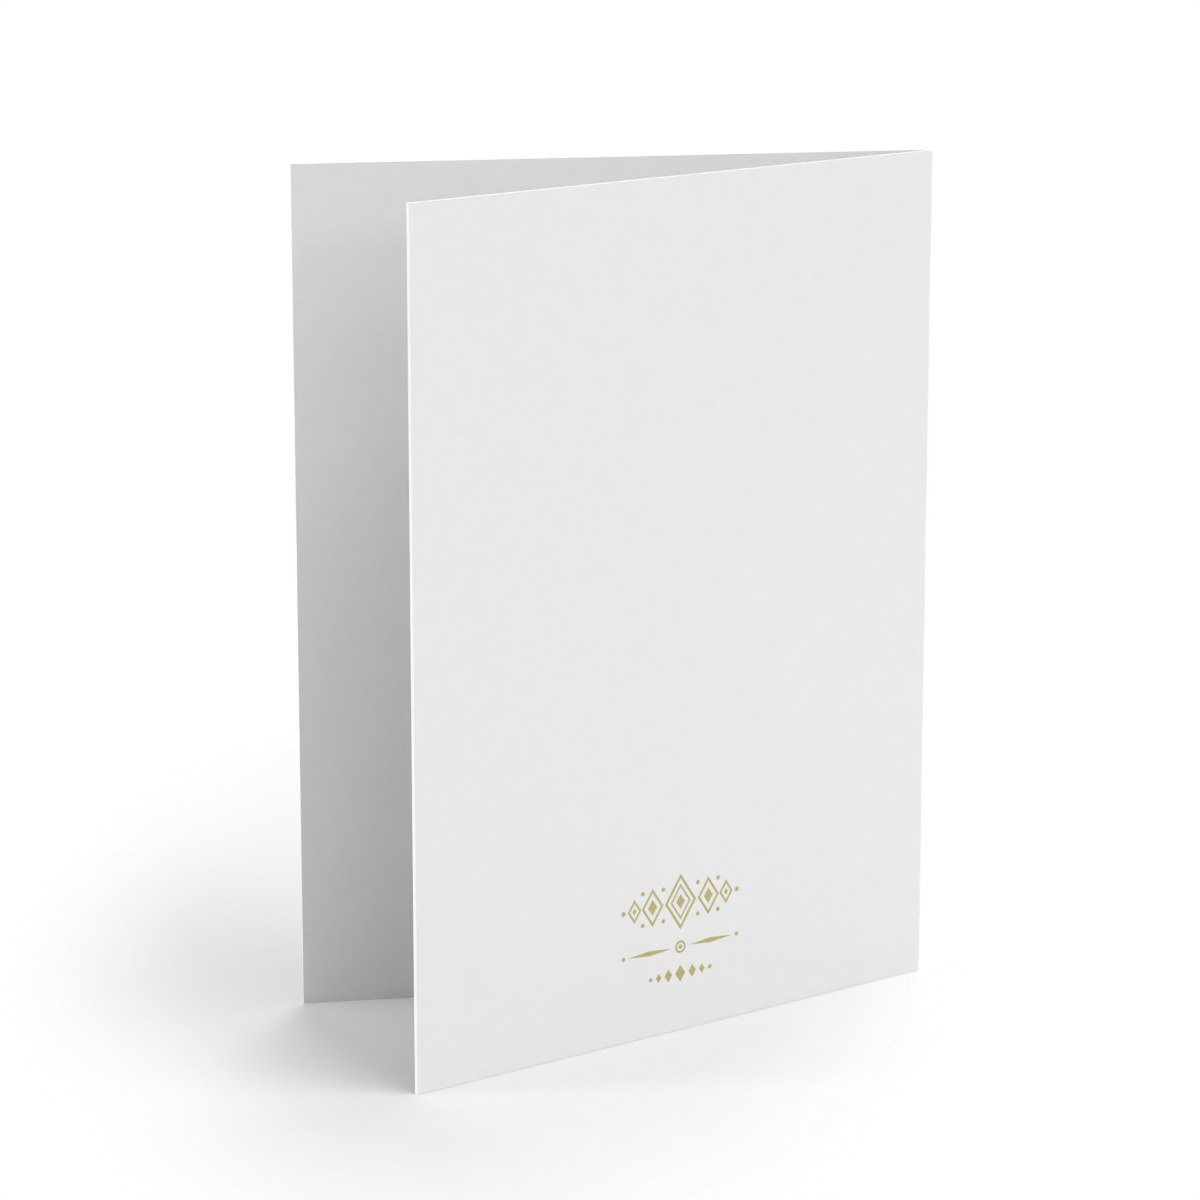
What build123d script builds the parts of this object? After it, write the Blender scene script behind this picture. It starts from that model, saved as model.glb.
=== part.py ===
from build123d import *
from math import asin, cos, degrees, pi, radians, sin
import os

# A greeting card: one sheet of heavy white board, scored across its middle, folded once and
# standing on its lower edge with the two covers a little open.
# Millimetres, +Z up. X runs across the covers, from the fold at -X to the open edges at +X.
# The front cover is on the -Y side and the back cover on the +Y side. The origin is the
# middle of the card's footprint, on the surface that it stands on.

# Driving dimensions
sheet_width = 228.6  # the flat sheet, across both covers: 9 in
sheet_height = 152.4  # 6 in
board_thickness = 0.8  # heavy card of about 600 g per square metre
opening_angle = 27.5  # degrees between the two covers
fold_inner_radius = 0.25  # inside of the fold
bead_groove = 0.08  # left on each side of the ridge that scoring raises along the inside of the fold
bead_reach = 0.1  # from the fold's centre line to the centre of the ridge's rounded top

# The middle of the board's thickness keeps its length round the fold, so each cover gets half
# of what the fold leaves of the sheet.
fold_outer_radius = fold_inner_radius + board_thickness
fold_length = (fold_inner_radius + board_thickness / 2) * (pi - radians(opening_angle))
cover_length = (sheet_width - fold_length) / 2

# Directions of the back cover, seen from above: away from the fold, and out of its face.
half_angle = opening_angle / 2
along = Vector(cos(radians(half_angle)), sin(radians(half_angle)))
outward = Vector(-along.Y, along.X)

# The footprint runs from the outside of the fold to the inner corners of the cut edges.
cover_reach = cover_length * along.X + fold_inner_radius * outward.X
fold_centre = Vector((fold_outer_radius - cover_reach) / 2, 0)

# Corners of the back cover's section
outer_fold = fold_centre + outward * fold_outer_radius
outer_cut = outer_fold + along * cover_length
inner_cut = outer_cut - outward * board_thickness
inner_fold = fold_centre + outward * fold_inner_radius

# The ridge fills the middle of the fold's inside, between its two grooves.
bead_radius = fold_inner_radius - bead_groove
bead_centre = fold_centre + Vector(bead_reach, 0)
bead_shoulder = bead_centre + Vector(0, bead_radius)
outward_angle = 90 + half_angle
groove_angle = 180 - degrees(asin(bead_radius / fold_inner_radius)) - outward_angle

with BuildSketch() as section:
    with BuildLine():
        Polyline(outer_fold, outer_cut, inner_cut, inner_fold)
        groove = CenterArc(fold_centre, fold_inner_radius, outward_angle, groove_angle)
        Line(groove @ 1, bead_shoulder)
        mirror(about=Plane.XZ)
        CenterArc(fold_centre, fold_outer_radius, outward_angle, 180 - opening_angle)
        CenterArc(bead_centre, bead_radius, -90, 180)
    make_face()

folded_card = extrude(section.sketch, sheet_height)

os.makedirs("parts", exist_ok=True)
export_step(folded_card, "parts/folded_card.step")
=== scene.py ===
from math import cos, radians, sin, sqrt

import bmesh
import bpy
from mathutils import Matrix, Vector


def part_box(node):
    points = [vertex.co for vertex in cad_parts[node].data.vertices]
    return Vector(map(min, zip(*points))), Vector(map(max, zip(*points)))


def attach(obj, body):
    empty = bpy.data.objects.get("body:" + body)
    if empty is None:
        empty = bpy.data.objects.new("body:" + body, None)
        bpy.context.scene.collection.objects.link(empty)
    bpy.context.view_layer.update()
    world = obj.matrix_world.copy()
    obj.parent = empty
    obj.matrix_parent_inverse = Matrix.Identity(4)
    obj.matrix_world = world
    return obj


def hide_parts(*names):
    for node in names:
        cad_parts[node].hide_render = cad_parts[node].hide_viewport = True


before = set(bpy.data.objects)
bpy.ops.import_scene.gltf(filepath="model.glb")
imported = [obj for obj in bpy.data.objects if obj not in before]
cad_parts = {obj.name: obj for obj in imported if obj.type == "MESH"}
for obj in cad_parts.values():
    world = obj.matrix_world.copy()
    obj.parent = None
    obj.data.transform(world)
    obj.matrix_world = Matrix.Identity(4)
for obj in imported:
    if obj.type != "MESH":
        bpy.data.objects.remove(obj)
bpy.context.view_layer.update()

cardLow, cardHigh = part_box("folded_card")
mm = 0.001
samePoint = 0.0005 * mm   # points nearer than this are merged
samePlace = 0.001 * mm    # things nearer than this to a plane or line are on it
facing = 0.9              # a face looks in a direction when this much of its unit normal lies along it


# Mesh work

def selectOnly(obj):
    bpy.ops.object.select_all(action="DESELECT")
    obj.select_set(True)
    bpy.context.view_layer.objects.active = obj


def edit(obj):
    selectOnly(obj)
    bpy.ops.object.mode_set(mode="EDIT")


def done():
    bpy.ops.object.mode_set(mode="OBJECT")


def pick(obj, kind, test):
    # selects the faces or edges that pass the test, and nothing else
    bpy.ops.mesh.select_mode(type=kind)
    bpy.ops.mesh.select_all(action="DESELECT")
    mesh = bmesh.from_edit_mesh(obj.data)
    for element in mesh.faces if kind == "FACE" else mesh.edges:
        if test(element):
            element.select_set(True)
    bmesh.update_edit_mesh(obj.data)


def applyPlace(obj):
    selectOnly(obj)
    bpy.ops.object.transform_apply(location=True, rotation=True, scale=True)


def tidyMesh(obj):
    edit(obj)
    bpy.ops.mesh.select_all(action="SELECT")
    bpy.ops.mesh.remove_doubles(threshold=samePoint)
    bpy.ops.mesh.normals_make_consistent(inside=False)
    done()


# Materials

def linear(hexColour):
    # an sRGB hex colour as the linear colour that shaders take
    parts = [int(hexColour[i:i + 2], 16) / 255 for i in (1, 3, 5)]
    return [c / 12.92 if c <= 0.04045 else ((c + 0.055) / 1.055) ** 2.4 for c in parts] + [1]


def addNode(tree, kind, values={}, links={}, **settings):
    node = tree.nodes.new("ShaderNode" + kind)
    for name, value in settings.items():
        setattr(node, name, value)
    for name, value in values.items():
        node.inputs[name].default_value = value
    for name, source in links.items():
        tree.links.new(source, node.inputs[name])
    return node


def newMaterial(name):
    material = bpy.data.materials.new(name)
    material.use_nodes = True
    tree = material.node_tree
    return material, tree, tree.nodes["Principled BSDF"]


boardFace = {
    "light": "#EBEBEB",
    "dark": "#E9E9E9",
    "flocSize": 3 * mm,        # the clouds of fibre seen when a sheet is held to the light
    "flocSpan": (0.3, 0.7),
    "toothSize": 0.35 * mm,    # real tooth is about 0.1 mm, drawn coarser so that it shows
    "toothDepth": 0.004 * mm,
    "scoreWidth": 0.9 * mm,    # the stretched fibres on the outside of the fold
    "scoreColour": "#F7F7F5",
    "scoreFibre": 0.4 * mm,
    "scoreStretch": 0.12,      # the pattern's scale along the fold; under 1 draws the fibres out
    "roughness": 0.85,
    "ior": 1.5,
}

boardEdge = {
    # these whites are brighter than the face's tones: a painted highlight on the cut edges, not a different
    # board
    "light": "#FEFEFE",
    "dark": "#FAFAF9",
    "plySize": 0.16 * mm,      # the board is pressed from about five layers
    "plySpan": (0.3, 0.6),
    "fibreLength": 2.5 * mm,
    "burrDepth": 0.006 * mm,
    "roughness": 0.9,
    "ior": 1.5,
}


def makeBoardFace():
    # bleached uncoated card, calendered: an even matt white with a faint tooth and cloudy floc
    material, tree, shader = newMaterial("calendered_white_card")
    place = addNode(tree, "TexCoord").outputs["Object"]
    floc = addNode(tree, "TexNoise", {"Scale": 1 / boardFace["flocSize"], "Detail": 3}, {"Vector": place})
    clouds = addNode(tree, "ValToRGB", links={"Fac": floc.outputs["Fac"]})
    low, high = clouds.color_ramp.elements
    low.position, high.position = boardFace["flocSpan"]
    low.color, high.color = linear(boardFace["dark"]), linear(boardFace["light"])

    # along the score the outer fibres are stretched, and show as a paler broken line
    axes = addNode(tree, "SeparateXYZ", links={"Vector": place})
    nearFold = addNode(tree, "MapRange", {
        "From Min": cardLow.x, "From Max": cardLow.x + boardFace["scoreWidth"], "To Min": 1, "To Max": 0,
    }, {"Value": axes.outputs["X"]})
    stretch = addNode(tree, "Mapping", {"Scale": (1, 1, boardFace["scoreStretch"])}, {"Vector": place})
    fibres = addNode(tree, "TexNoise", {
        "Scale": 1 / boardFace["scoreFibre"], "Detail": 4,
    }, {"Vector": stretch.outputs["Vector"]})
    wear = addNode(tree, "Math", links={
        0: nearFold.outputs["Result"], 1: fibres.outputs["Fac"],
    }, operation="MULTIPLY")
    colour = addNode(tree, "MixRGB", {"Color2": linear(boardFace["scoreColour"])}, {
        "Fac": wear.outputs["Value"], "Color1": clouds.outputs["Color"],
    })
    tree.links.new(colour.outputs["Color"], shader.inputs["Base Color"])

    tooth = addNode(tree, "TexNoise", {"Scale": 1 / boardFace["toothSize"], "Detail": 2}, {"Vector": place})
    bump = addNode(tree, "Bump", {"Distance": boardFace["toothDepth"]}, {"Height": tooth.outputs["Fac"]})
    tree.links.new(bump.outputs["Normal"], shader.inputs["Normal"])
    shader.inputs["Roughness"].default_value = boardFace["roughness"]
    shader.inputs["IOR"].default_value = boardFace["ior"]
    return material


def makeBoardEdge():
    # the same board cut by a guillotine, with the layers just showing as lines; its colour is kept whiter
    # than the faces as a painted highlight for the bright line the cut edges catch
    material, tree, shader = newMaterial("guillotined_card_edge")
    place = addNode(tree, "TexCoord").outputs["Object"]
    axes = addNode(tree, "SeparateXYZ", links={"Vector": place})
    depth = addNode(tree, "Attribute", attribute_name="boardDepth")
    layers = addNode(tree, "Math", {1: card["boardThickness"]}, {
        0: depth.outputs["Fac"],
    }, operation="MULTIPLY")
    across = addNode(tree, "CombineXYZ", links={
        "X": layers.outputs["Value"], "Y": axes.outputs["X"], "Z": axes.outputs["Z"],
    })
    fibreScale = 1 / boardEdge["fibreLength"]
    lay = addNode(tree, "Mapping", {"Scale": (1 / boardEdge["plySize"], fibreScale, fibreScale)}, {
        "Vector": across.outputs["Vector"],
    })
    plies = addNode(tree, "TexNoise", {"Scale": 1, "Detail": 3}, {"Vector": lay.outputs["Vector"]})
    tone = addNode(tree, "ValToRGB", links={"Fac": plies.outputs["Fac"]})
    low, high = tone.color_ramp.elements
    low.position, high.position = boardEdge["plySpan"]
    low.color, high.color = linear(boardEdge["dark"]), linear(boardEdge["light"])
    tree.links.new(tone.outputs["Color"], shader.inputs["Base Color"])
    bump = addNode(tree, "Bump", {"Distance": boardEdge["burrDepth"]}, {"Height": plies.outputs["Fac"]})
    tree.links.new(bump.outputs["Normal"], shader.inputs["Normal"])
    shader.inputs["Roughness"].default_value = boardEdge["roughness"]
    shader.inputs["IOR"].default_value = boardEdge["ior"]
    return material


# The card

card = {
    "openingAngle": radians(27.5),
    "boardThickness": 0.8 * mm,
    "foldInnerRadius": 0.25 * mm,
    "foldSteps": 32,
    "ridgeWidth": 0.34 * mm,      # the ridge that scoring raises along the inside of the fold
    "ridgeHeight": 0.27 * mm,     # past the fold's centre line, towards the open edges
    "ridgeRounding": 0.15 * mm,
    "cutRounding": 0.04 * mm,     # what a guillotine leaves on a cut edge
    "cutSteps": 2,
    "footRounding": 0.2 * mm,     # the outside of the foot is rounder, and draws a fine line on the floor
    "footSteps": 3,
    "cornersOver": radians(60),   # only edges sharper than this are rounded
    "smoothUpTo": radians(40),
}

halfAngle = card["openingAngle"] / 2
foldOuterRadius = card["foldInnerRadius"] + card["boardThickness"]
foldCentre = Vector((cardLow.x + foldOuterRadius, 0, 0))
cardHeight = cardHigh.z - cardLow.z
backAlong = Vector((cos(halfAngle), sin(halfAngle), 0))  # from the fold to the open edge
backOut = Vector((-sin(halfAngle), cos(halfAngle), 0))   # out of the back cover's face
frontAlong = Vector((cos(halfAngle), -sin(halfAngle), 0))
coverLength = (cardHigh.x - foldCentre.x + card["foldInnerRadius"] * sin(halfAngle)) / cos(halfAngle)


def fromFold(point):
    # how far a point is along its own cover, and how far out from the fold's axis
    flat = Vector((point.x - foldCentre.x, abs(point.y), 0))
    along = flat.dot(backAlong)
    return along, flat.dot(backOut) if along > 0 else flat.length


def isOuterFoot(point):
    onFloor = point.z < cardLow.z + samePlace
    return onFloor and abs(fromFold(point)[1] - foldOuterRadius) < samePlace


def isCorner(edge):
    return edge.is_convex and edge.calc_face_angle(0) > card["cornersOver"]


def makeCard():
    # the back cover is a slab, its fold end is spun round the fold and drawn out as the front cover
    middle = foldCentre + backAlong * coverLength / 2
    middle += backOut * (card["foldInnerRadius"] + card["boardThickness"] / 2)
    middle.z = cardLow.z + cardHeight / 2
    bpy.ops.mesh.primitive_cube_add(
        size=1, location=middle, rotation=(0, 0, halfAngle),
        scale=(coverLength, card["boardThickness"], cardHeight),
    )
    obj = bpy.context.object
    obj.name = "card_sheet"
    applyPlace(obj)
    edit(obj)
    pick(obj, "FACE", lambda face: face.normal.dot(backAlong) < -facing)
    bpy.ops.mesh.spin(
        steps=card["foldSteps"], angle=radians(180) - card["openingAngle"],
        center=foldCentre, axis=(0, 0, -1),  # spin turns the other way with no window
    )
    bpy.ops.mesh.extrude_region_move(TRANSFORM_OT_translate={"value": frontAlong * coverLength})
    done()
    tidyMesh(obj)
    raiseRidge(obj)

    edit(obj)
    pick(obj, "EDGE", lambda edge: all(isOuterFoot(vertex.co) for vertex in edge.verts))
    bpy.ops.mesh.bevel(offset=card["footRounding"], segments=card["footSteps"], affect="EDGES")
    pick(obj, "EDGE", isCorner)
    bpy.ops.mesh.bevel(offset=card["cutRounding"], segments=card["cutSteps"], affect="EDGES")
    done()
    tidyMesh(obj)
    smooth(obj)
    markDepth(obj)
    return obj


def raiseRidge(obj):
    # the faces at the bottom of the fold are drawn up, levelled, and let down at each side to a round
    top = foldCentre.x + card["ridgeHeight"]
    rounding = card["ridgeRounding"]

    def inFold(face):
        middle = face.calc_center_median()
        along, out = fromFold(middle)
        upright = abs(face.normal.z) < 1 - facing
        inRidge = abs(middle.y) < card["ridgeWidth"] / 2
        return upright and inRidge and along < 0 and out < card["foldInnerRadius"] + samePlace

    def alongTop(edge):
        start, end = (vertex.co for vertex in edge.verts)
        level = max(abs(start.x - top), abs(end.x - top)) < samePlace
        return level and abs(start.z - end.z) > cardHeight / 2

    edit(obj)
    pick(obj, "FACE", inFold)
    bpy.ops.mesh.extrude_region_move(TRANSFORM_OT_translate={"value": (card["ridgeHeight"], 0, 0)})
    bpy.ops.transform.resize(value=(0, 1, 1), center_override=(top, 0, 0))
    mesh = bmesh.from_edit_mesh(obj.data)
    rows = sorted({round(abs(edge.verts[0].co.y) / mm, 4) * mm for edge in mesh.edges if alongTop(edge)})
    flatPart = rows[-1] - rounding
    for row in rows:
        if row > flatPart:
            drop = rounding - sqrt(max(rounding ** 2 - (row - flatPart) ** 2, 0))
            pick(obj, "EDGE", lambda edge: (
                alongTop(edge) and abs(abs(edge.verts[0].co.y) - row) < samePlace
            ))
            bpy.ops.transform.translate(value=(-drop, 0, 0))
    done()


def smooth(obj):
    selectOnly(obj)
    bpy.ops.object.shade_smooth_by_angle(angle=card["smoothUpTo"])
    bpy.ops.object.modifier_add(type="WEIGHTED_NORMAL")
    obj.modifiers[-1].keep_sharp = True
    bpy.ops.object.modifier_apply(modifier=obj.modifiers[-1].name)


def markDepth(obj):
    # 0 on the inside of the card and 1 on the outside, for the layers on the cut edges
    depth = obj.data.attributes.new("boardDepth", "FLOAT", "POINT")
    for vertex in obj.data.vertices:
        intoBoard = (fromFold(vertex.co)[1] - card["foldInnerRadius"]) / card["boardThickness"]
        depth.data[vertex.index].value = min(max(intoBoard, 0), 1)


def isCut(face):
    # an open edge and the top with their rounding, and the foot without its wider one
    atEnd = fromFold(face.center)[0] > coverLength - 1.5 * card["cutRounding"]
    onTop = face.normal.z > 0.3
    underFoot = face.normal.z < -0.8
    return atEnd or onTop or underFoot


cardSheet = makeCard()
cardSheet.data.materials.append(makeBoardFace())
cardSheet.data.materials.append(makeBoardEdge())
for face in cardSheet.data.polygons:
    face.material_index = 1 if isCut(face) else 0
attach(cardSheet, "root")
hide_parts("folded_card")
print("card sheet", len(cardSheet.data.vertices), "vertices")


# The gold ornament on the back cover

ornament = {
    "fromOpenEdge": 57.2,   # all in mm; this is the middle of the cover
    "height": 18.7,         # its middle above the foot
    "film": 0.03,           # as thick as a raised ink
    "sunk": 0.01,           # how far the press sets it into the board
    "rows": {"upper": 8.0, "top": 5.1, "lower": 2.2, "middle": -3.2, "bottom": -8.1},
    # corners, half width, half height, stroke or 0 for a solid shape, row, places across
    "shapes": {
        "large_frame": (4, 3.5, 5.1, 0.45, "top", (0,)),
        "large_inner_frame": (4, 2.25, 3.3, 0.32, "top", (0,)),
        "large_lozenge": (4, 0.95, 1.4, 0, "top", (0,)),
        "side_frame": (4, 2.4, 3.5, 0.42, "top", (-6.3, 6.3)),
        "side_lozenge": (4, 1.0, 1.45, 0, "top", (-6.3, 6.3)),
        "outer_frame": (4, 1.5, 2.2, 0.38, "top", (-10.35, 10.35)),
        "outer_lozenge": (4, 0.42, 0.62, 0, "top", (-10.35, 10.35)),
        "end_dot": (24, 0.45, 0.45, 0, "top", (-12.8, 12.8)),
        "upper_bead": (24, 0.4, 0.4, 0, "upper", (-8.5, -3.9, 3.9, 8.5)),
        "lower_bead": (24, 0.4, 0.4, 0, "lower", (-8.5, -3.9, 3.9, 8.5)),
        "ring": (40, 1.15, 1.15, 0.36, "middle", (0,)),
        "ring_dot": (24, 0.42, 0.42, 0, "middle", (0,)),
        "swelled_rule": (4, 4.9, 0.45, 0, "middle", (-6.9, 6.9)),
        "rule_dot": (24, 0.38, 0.38, 0, "middle", (-12.8, 12.8)),
        "middle_lozenge": (4, 1.1, 1.55, 0, "bottom", (0,)),
        "near_lozenge": (4, 0.85, 1.2, 0, "bottom", (-2.7, 2.7)),
        "far_lozenge": (4, 0.62, 0.88, 0, "bottom", (-4.9, 4.9)),
        "small_dot": (24, 0.4, 0.4, 0, "bottom", (-6.7, 6.7)),
    },
}

goldInk = {
    "light": "#C2B77B",
    "dark": "#A59B63",
    "grainSpan": (0.4, 1),
    "flakeSize": 0.2 * mm,       # real flakes are 0.02 mm, drawn coarser so that they show
    "flakeDepth": 0.004 * mm,
    "coverSize": 1.5 * mm,       # how evenly the ink took
    "metallic": 0.35,
    "roughness": 0.48,
}


def makeGoldInk():
    # bronze flake in a clear binder, screen printed: a flat satin gold that never mirrors
    material, tree, shader = newMaterial("screen_printed_gold_ink")
    place = addNode(tree, "TexCoord").outputs["Object"]
    flake = addNode(tree, "TexVoronoi", {"Scale": 1 / goldInk["flakeSize"]}, {"Vector": place})
    cover = addNode(tree, "TexNoise", {"Scale": 1 / goldInk["coverSize"], "Detail": 3}, {"Vector": place})
    grain = addNode(tree, "Math", links={
        0: cover.outputs["Fac"], 1: flake.outputs["Distance"],
    }, operation="ADD")
    tone = addNode(tree, "ValToRGB", links={"Fac": grain.outputs["Value"]})
    low, high = tone.color_ramp.elements
    low.position, high.position = goldInk["grainSpan"]
    low.color, high.color = linear(goldInk["dark"]), linear(goldInk["light"])
    tree.links.new(tone.outputs["Color"], shader.inputs["Base Color"])
    bump = addNode(tree, "Bump", {"Distance": goldInk["flakeDepth"]}, {"Height": flake.outputs["Distance"]})
    tree.links.new(bump.outputs["Normal"], shader.inputs["Normal"])
    shader.inputs["Metallic"].default_value = goldInk["metallic"]
    shader.inputs["Roughness"].default_value = goldInk["roughness"]
    return material


def makeShape(name, corners, halfWidth, halfHeight, stroke):
    # a flat lozenge or round, solid or as a frame, drawn on the ground plane and made as thick as the film
    bpy.ops.mesh.primitive_circle_add(vertices=corners, radius=1, fill_type="NGON")
    obj = bpy.context.object
    obj.name = name
    obj.scale = (halfWidth * mm, halfHeight * mm, 1)
    applyPlace(obj)
    edit(obj)
    bpy.ops.mesh.select_all(action="SELECT")
    if stroke:
        bpy.ops.mesh.inset(thickness=stroke * mm)
        bpy.ops.mesh.delete(type="FACE")
        bpy.ops.mesh.select_all(action="SELECT")
    bpy.ops.mesh.extrude_region_move(TRANSFORM_OT_translate={"value": (0, 0, ornament["film"] * mm)})
    done()
    tidyMesh(obj)
    return obj


def placeShapes(obj, up, places):
    # the shape goes to the first place, and a copy with its own mesh to each of the others
    shapes = [obj]
    for _ in places[1:]:
        copy = obj.copy()
        copy.data = obj.data.copy()
        bpy.context.collection.objects.link(copy)
        shapes.append(copy)
    for shape, across in zip(shapes, places):
        shape.location = (across * mm, up * mm, 0)
    return shapes


def makeOrnament():
    shapes = []
    for name, (corners, halfWidth, halfHeight, stroke, row, places) in ornament["shapes"].items():
        shape = makeShape(name, corners, halfWidth, halfHeight, stroke)
        shapes += placeShapes(shape, ornament["rows"][row], places)
    selectOnly(shapes[0])
    for shape in shapes:
        shape.select_set(True)
    bpy.ops.object.join()
    obj = bpy.context.object
    obj.name = "gold_ornament"
    applyPlace(obj)

    # from the ground plane to the cover's face
    origin = foldCentre + backAlong * (coverLength - ornament["fromOpenEdge"] * mm)
    origin += backOut * (foldOuterRadius - ornament["sunk"] * mm)
    origin.z = cardLow.z + ornament["height"] * mm
    axes = Matrix((-backAlong, Vector((0, 0, 1)), backOut)).transposed()
    obj.matrix_world = Matrix.LocRotScale(origin, axes.to_quaternion(), None)
    applyPlace(obj)
    return obj


goldOrnament = makeOrnament()
goldOrnament.data.materials.clear()
goldOrnament.data.materials.append(makeGoldInk())
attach(goldOrnament, "root")
print("gold ornament", len(goldOrnament.data.vertices), "vertices")


# The floor, camera and lights

floor = {
    "size": 12,
    "colour": "#F7F7F7",
    "roughness": 0.9,
    "fadeFrom": 0.9,   # metres; beyond this it melts into the white surround
    "fadeTo": 2.0,
    "poolMiddle": (7 * mm, -56.5 * mm, 0),   # the card's shadow is kept to a soft oval pool
    "poolTurn": radians(-23.5),
    "poolReach": (95 * mm, 190 * mm, 1),
    "poolCore": 0.53,                        # the part of the pool that isn't faded at all
}


def makeFloor():
    bpy.ops.mesh.primitive_plane_add(size=floor["size"], location=(0, 0, cardLow.z))
    obj = bpy.context.object
    obj.name = "floor"
    material, tree, shader = newMaterial("white_studio_floor")
    place = addNode(tree, "TexCoord").outputs["Object"]
    spread = addNode(tree, "VectorMath", links={0: place}, operation="LENGTH")
    fade = addNode(tree, "MapRange", {
        "From Min": floor["fadeFrom"], "From Max": floor["fadeTo"], "To Min": 1, "To Max": 0,
    }, {"Value": spread.outputs["Value"]}, interpolation_type="SMOOTHSTEP")

    # the eye sees only the pool, while the whole floor goes on lighting the card
    oval = addNode(tree, "Mapping", {
        "Location": floor["poolMiddle"], "Rotation": (0, 0, floor["poolTurn"]), "Scale": floor["poolReach"],
    }, {"Vector": place}, vector_type="TEXTURE")
    fromPool = addNode(tree, "VectorMath", links={0: oval.outputs["Vector"]}, operation="LENGTH")
    pool = addNode(tree, "MapRange", {
        "From Min": floor["poolCore"], "From Max": 1, "To Min": 1, "To Max": 0,
    }, {"Value": fromPool.outputs["Value"]}, interpolation_type="SMOOTHSTEP")
    seen = addNode(tree, "Mix", links={
        "Factor": addNode(tree, "LightPath").outputs["Is Camera Ray"],
        "A": fade.outputs["Result"], "B": pool.outputs["Result"],
    })
    tree.links.new(seen.outputs["Result"], shader.inputs["Alpha"])
    shader.inputs["Base Color"].default_value = linear(floor["colour"])
    shader.inputs["Roughness"].default_value = floor["roughness"]
    obj.data.materials.append(material)


makeFloor()
print("floor")

camera = {
    "aimFromMiddle": Vector((7.57, -3.18, -0.77)) * mm,
    "distance": 783.5 * mm,
    "azimuth": radians(155.967),
    "elevation": radians(12.841),
    "lens": 133.04,   # this and the sensor's width are in mm, as cameras give them
    "sensor": 36,
    "farthest": 50,
}


def makeCamera():
    towards = Vector((
        sin(camera["azimuth"]) * cos(camera["elevation"]),
        -cos(camera["azimuth"]) * cos(camera["elevation"]),
        sin(camera["elevation"]),
    ))
    aim = (cardLow + cardHigh) / 2 + camera["aimFromMiddle"]
    bpy.ops.object.camera_add(
        location=aim + towards * camera["distance"],
        rotation=(radians(90) - camera["elevation"], 0, camera["azimuth"]),
    )
    obj = bpy.context.object
    obj.data.lens = camera["lens"]
    obj.data.sensor_width = camera["sensor"]
    obj.data.clip_end = camera["farthest"]
    bpy.context.scene.camera = obj


makeCamera()
print("camera")


lightAim = Vector((0, 0, 0.05))

# soft boxes round the card: degrees from +X towards +Y and above the floor, metres, and watts
softBoxes = {
    "high_front_screen": {"around": 120, "above": 65, "away": 3.0, "size": 2.0, "power": 30.4},
    "front_screen": {"around": 135, "above": 42, "away": 3.0, "size": 2.0, "power": 26.5},
    "low_front_screen": {"around": 90, "above": 20, "away": 3.0, "size": 2.0, "power": 20.7},
    "rear_screen": {"around": 225, "above": 42, "away": 3.0, "size": 2.0, "power": 21.3},
    "low_rear_screen": {"around": 245, "above": 20, "away": 3.0, "size": 2.0, "power": 37.0},
    "high_side_screen": {"around": 330, "above": 65, "away": 3.0, "size": 2.0, "power": 21.2},
    "low_side_box": {"around": 345, "above": 6, "away": 2.5, "size": 0.45, "power": 29.0},
    "small_front_box": {"around": 95, "above": 18, "away": 2.0, "size": 0.25, "power": 2.5},
}


def makeLights():
    for name, box in softBoxes.items():
        around, above = radians(box["around"]), radians(box["above"])
        towards = Vector((cos(around) * cos(above), sin(around) * cos(above), sin(above)))
        bpy.ops.object.light_add(
            type="AREA", location=lightAim + towards * box["away"],
            rotation=towards.to_track_quat("Z", "Y").to_euler(),
        )
        obj = bpy.context.object
        obj.name = name
        obj.data.size = box["size"]
        obj.data.energy = box["power"]
        obj.visible_camera = False


def makeSurround():
    # a white surround that is seen and gives no light
    world = bpy.data.worlds.new("studio")
    bpy.context.scene.world = world
    world.use_nodes = True
    world.node_tree.nodes["Background"].inputs["Color"].default_value = linear("#FFFFFF")
    for ray in ("diffuse", "glossy", "transmission", "scatter"):
        setattr(world.cycles_visibility, ray, False)


makeLights()
makeSurround()
bpy.context.scene.view_settings.view_transform = "Standard"
print("lights", len(softBoxes))
